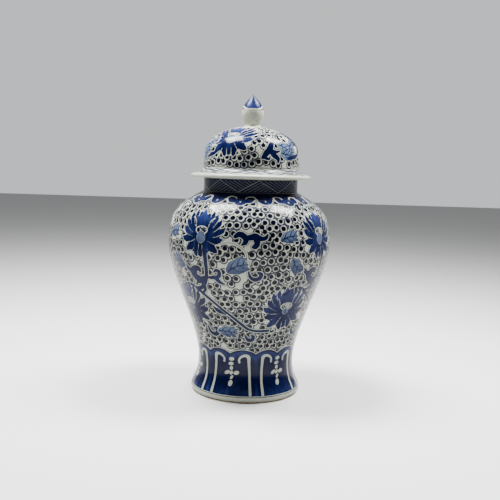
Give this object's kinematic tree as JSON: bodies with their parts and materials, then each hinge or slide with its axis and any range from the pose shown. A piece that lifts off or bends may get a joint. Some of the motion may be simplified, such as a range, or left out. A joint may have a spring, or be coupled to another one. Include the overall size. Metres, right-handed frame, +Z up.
{
  "type": "covered ginger jar",
  "caption": "Tall covered porcelain jar of baluster shape with flared foot, short neck and a domed lift-off lid with bud finial, for storing ginger or tea and for display",
  "frame": {"origin": "centre of the resting face of the foot ring", "axes": "+Z up along the axis of the jar, from the foot to the tip of the finial; -Y is the painted front; +X is to the right of the front"},
  "size_m": [0.249, 0.249, 0.457],
  "materials": {
    "painted_porcelain": "cobalt painting under a clear gloss glaze",
    "plain_porcelain": "clear gloss glaze over greyish white porcelain"
  },
  "bodies": {
    "jar": {"jar_foot": "painted_porcelain", "jar_lower_body": "painted_porcelain", "jar_upper_body": "painted_porcelain", "jar_neck": "painted_porcelain"},
    "lid": {"lid_brim": "painted_porcelain", "lid_collar": "plain_porcelain", "lid_dome": "painted_porcelain", "finial_stem": "plain_porcelain", "finial_bud": "painted_porcelain"}
  },
  "joints": [
    {"name": "lid_lift", "type": "slide", "parent": "jar", "child": "lid", "axis": [0, 0, 1], "range_m": [0, 0.15]}
  ]
}
